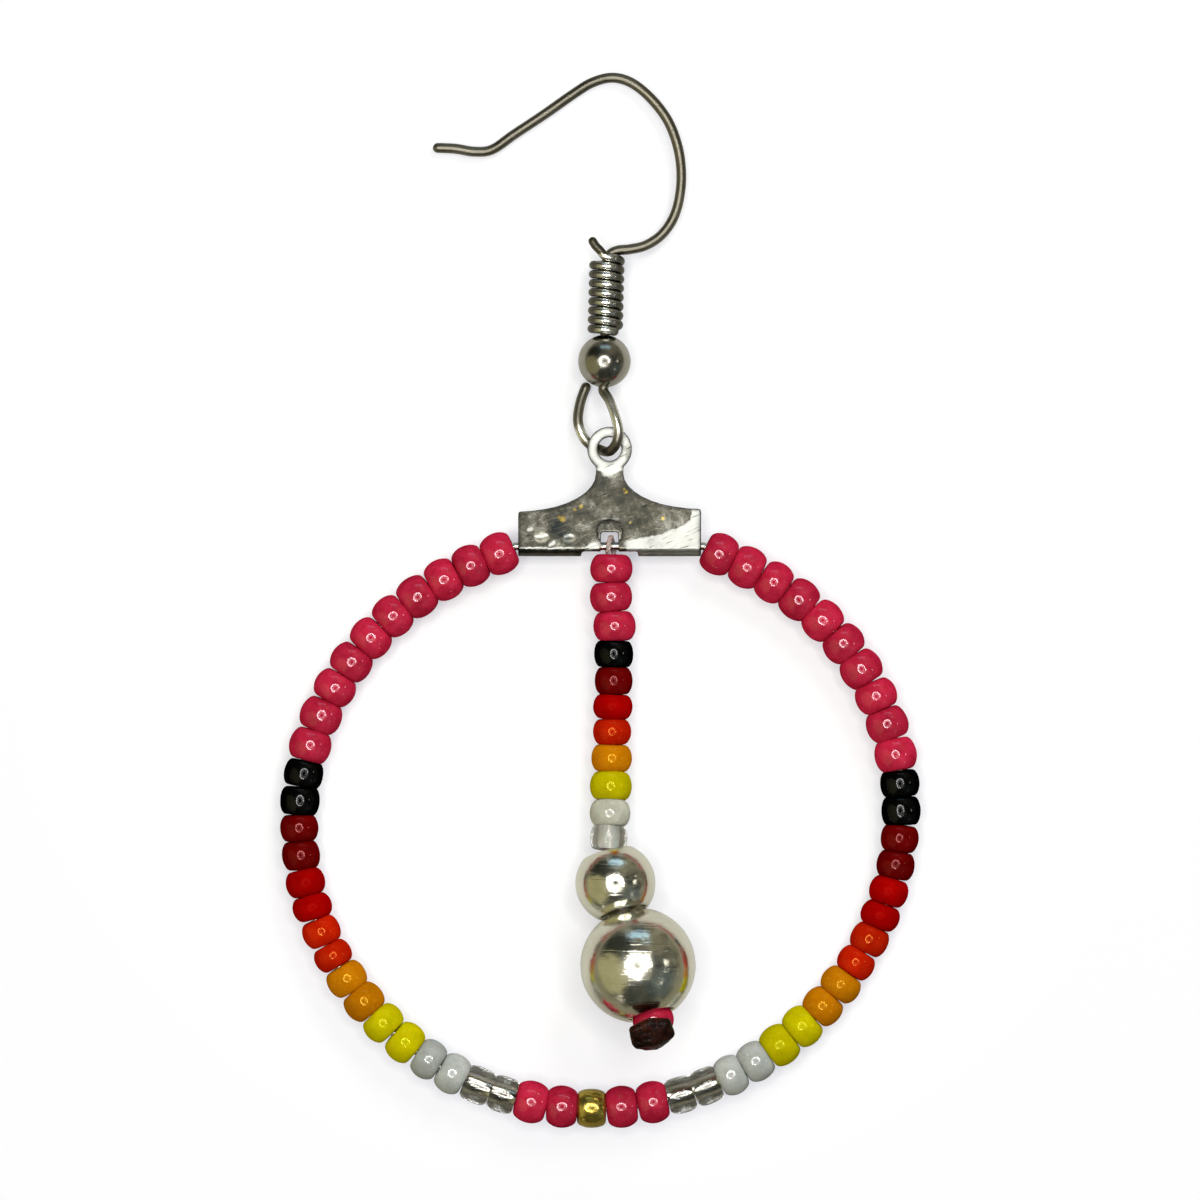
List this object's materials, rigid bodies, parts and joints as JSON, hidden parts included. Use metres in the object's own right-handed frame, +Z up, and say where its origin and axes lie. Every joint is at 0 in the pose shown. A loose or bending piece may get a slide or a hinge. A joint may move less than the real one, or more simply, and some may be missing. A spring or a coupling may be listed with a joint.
{
  "type": "bead hoop drop earring",
  "caption": "Drop earring: a fish-hook ear wire and a folded connector carry a hoop of seed beads, with a beaded strand and two mirror balls hanging inside it.",
  "frame": {"origin": "middle of the outline on the surface that the earring lies on", "axes": "+Y from the hoop's bottom towards the ear hook's arch, +Z up out of the hoop's plane, +X to the right as the earring is seen face up"},
  "size_m": [0.032, 0.0528, 0.0057],
  "materials": {
    "hook_metal": "polished nickel-grey steel",
    "silver_sheet": "worn silver plate over brass, scuffed, with a bright fold",
    "hoop_metal": "bright drawn steel wire",
    "bead_pink": "opaque glossy glass, a little mottled",
    "bead_black": "opaque glossy glass",
    "bead_dark_red": "opaque glossy glass",
    "bead_red": "opaque glossy glass",
    "bead_orange": "opaque glossy glass",
    "bead_amber": "opaque glossy glass",
    "bead_yellow": "opaque glossy glass",
    "bead_white": "milky glossy glass",
    "bead_crystal": "clear glass over the bright wire",
    "bead_gold": "glossy glass with a metallic gold lustre",
    "thread": "translucent nylon thread",
    "mirror_silver": "mirror plating on a drilled glass ball",
    "burnt_thread": "melted and scorched thread"
  },
  "bodies": {
    "root": {"ear_hook": "hook_metal", "hook_coil": "hook_metal", "hook_ball": "hook_metal", "connector": "silver_sheet", "hoop_wire": "hoop_metal", "hoop_right_pink": "bead_pink", "hoop_right_black": "bead_black", "hoop_right_dark_red": "bead_dark_red", "hoop_right_red": "bead_red", "hoop_right_orange": "bead_orange", "hoop_right_amber": "bead_amber", "hoop_right_yellow": "bead_yellow", "hoop_right_white": "bead_white", "hoop_right_crystal": "bead_crystal", "hoop_right_low_pink": "bead_pink", "hoop_gold": "bead_gold", "hoop_left_low_pink": "bead_pink", "hoop_left_crystal": "bead_crystal", "hoop_left_white": "bead_white", "hoop_left_yellow": "bead_yellow", "hoop_left_amber": "bead_amber", "hoop_left_orange": "bead_orange", "hoop_left_red": "bead_red", "hoop_left_dark_red": "bead_dark_red", "hoop_left_black": "bead_black", "hoop_left_pink": "bead_pink", "drop_thread": "thread", "drop_pink_1": "bead_pink", "drop_pink_2": "bead_pink", "drop_pink_3": "bead_pink", "drop_black": "bead_black", "drop_dark_red": "bead_dark_red", "drop_red": "bead_red", "drop_orange": "bead_orange", "drop_amber": "bead_amber", "drop_yellow": "bead_yellow", "drop_white": "bead_white", "drop_crystal": "bead_crystal", "small_ball": "mirror_silver", "large_ball": "mirror_silver", "end_bead": "bead_pink", "end_knot": "burnt_thread"}
  },
  "joints": []
}
